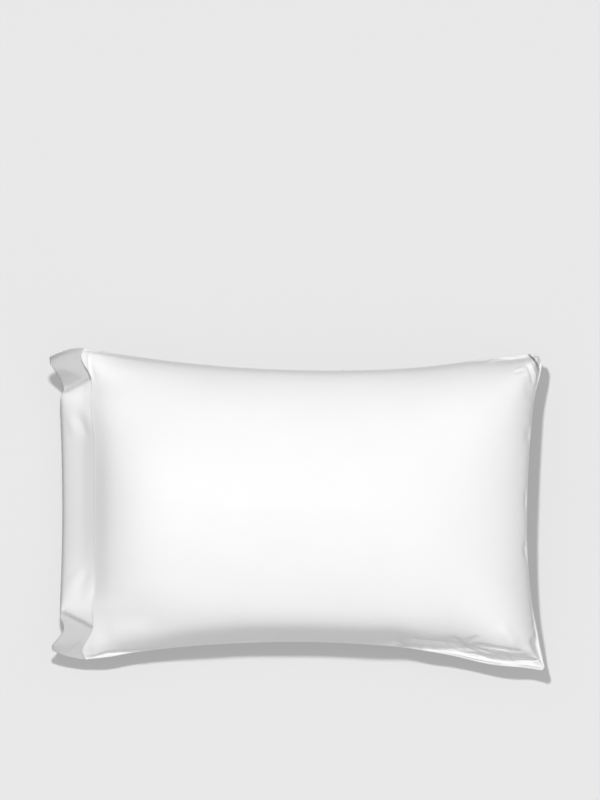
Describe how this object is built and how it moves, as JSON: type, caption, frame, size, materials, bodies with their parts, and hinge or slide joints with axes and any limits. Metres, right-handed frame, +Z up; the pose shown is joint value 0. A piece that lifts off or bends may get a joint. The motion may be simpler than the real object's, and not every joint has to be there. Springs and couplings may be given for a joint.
{
  "type": "pillowcase",
  "caption": "Plain white pillowcase, filled by its pillow and lying on its back: a crowned bag with drawn-in sides, closed at one end by a flap that is tucked under a hem.",
  "frame": {"origin": "on the surface that the pillowcase lies on, under the middle of its outline", "axes": "+X along the case from its open end to its sewn end, +Y across it, +Z up from the surface through the crown"},
  "size_m": [0.7554, 0.4962, 0.1593],
  "materials": {
    "white_cloth": "smooth satin weave, softly lustrous"
  },
  "bodies": {
    "root": {"filled_case": "white_cloth", "closing_flap": "white_cloth"}
  },
  "joints": []
}
